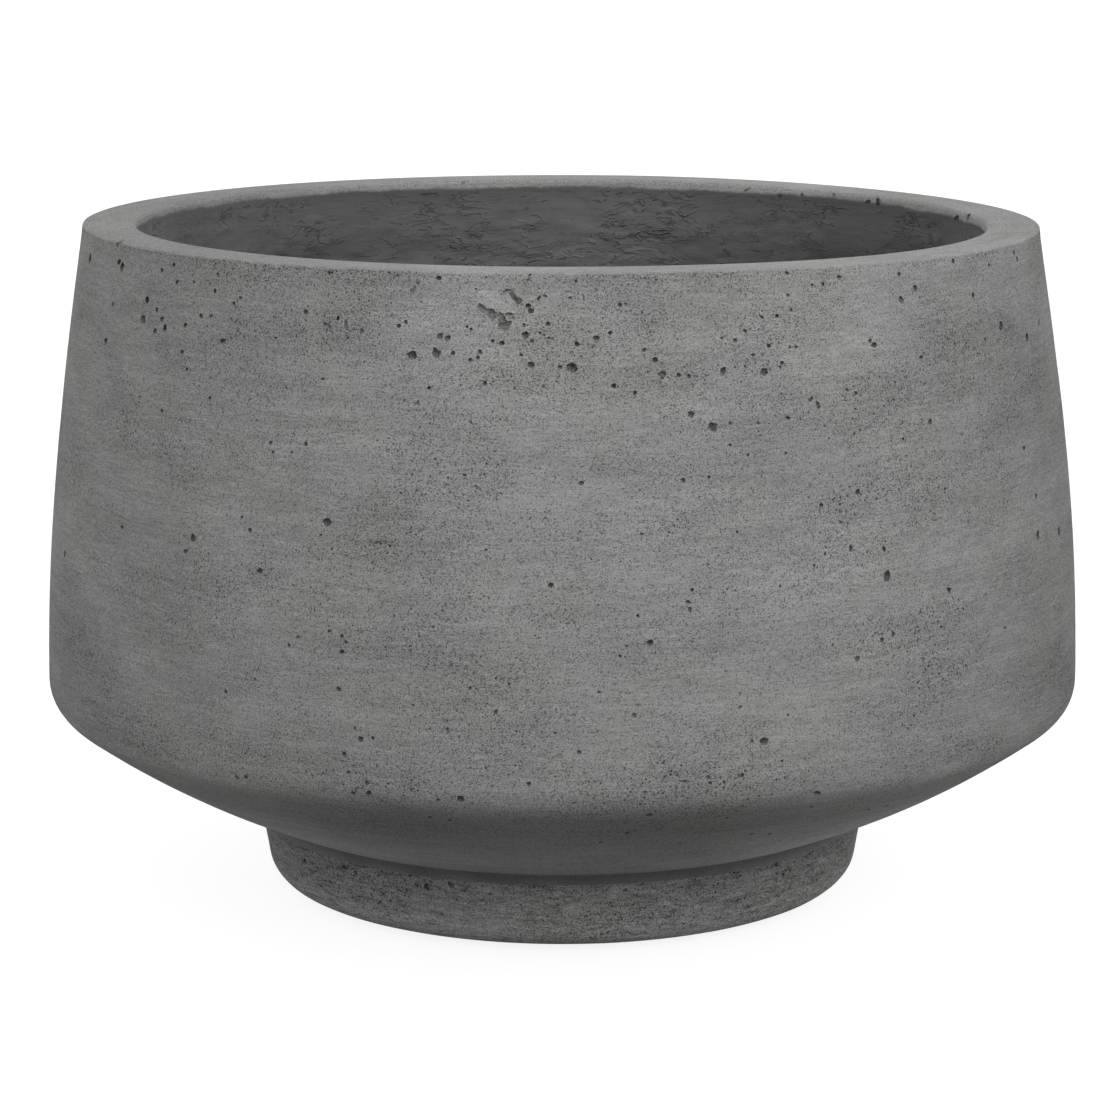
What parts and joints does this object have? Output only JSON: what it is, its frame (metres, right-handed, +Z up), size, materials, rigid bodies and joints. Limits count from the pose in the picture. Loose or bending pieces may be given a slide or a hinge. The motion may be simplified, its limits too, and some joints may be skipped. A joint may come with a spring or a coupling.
{
  "type": "flower pot",
  "caption": "Wide round fibre-cement flower pot with a flat rim, rounded shoulder, shallow dish and low foot ring, a dark fibre-mat lining and a lift-out drain plug.",
  "frame": {"origin": "on the pot's axis, at the floor that the foot pads stand on", "axes": "+Z up along the pot's axis, +X to the right and +Y away from the viewer in the picture"},
  "size_m": [0.3999, 0.4, 0.26],
  "materials": {
    "cement_face": "matte",
    "fibre_mat": "matte",
    "cement_foot": "matte",
    "mortar": "matte",
    "sleeve_plastic": "satin",
    "plug_rubber": "matte",
    "pad_rubber": "matte"
  },
  "bodies": {
    "pot": {"face_shell": "cement_face", "fibre_backing": "fibre_mat", "foot_ring": "cement_foot", "mortar_bed": "mortar", "drain_sleeve": "sleeve_plastic", "foot_pad_1": "pad_rubber", "foot_pad_2": "pad_rubber", "foot_pad_3": "pad_rubber", "foot_pad_4": "pad_rubber"},
    "plug": {"drain_plug": "plug_rubber"}
  },
  "joints": [
    {"name": "plug_lift", "type": "slide", "parent": "pot", "child": "plug", "axis": [0, 0, 1], "range_m": [0, 0.28]}
  ]
}
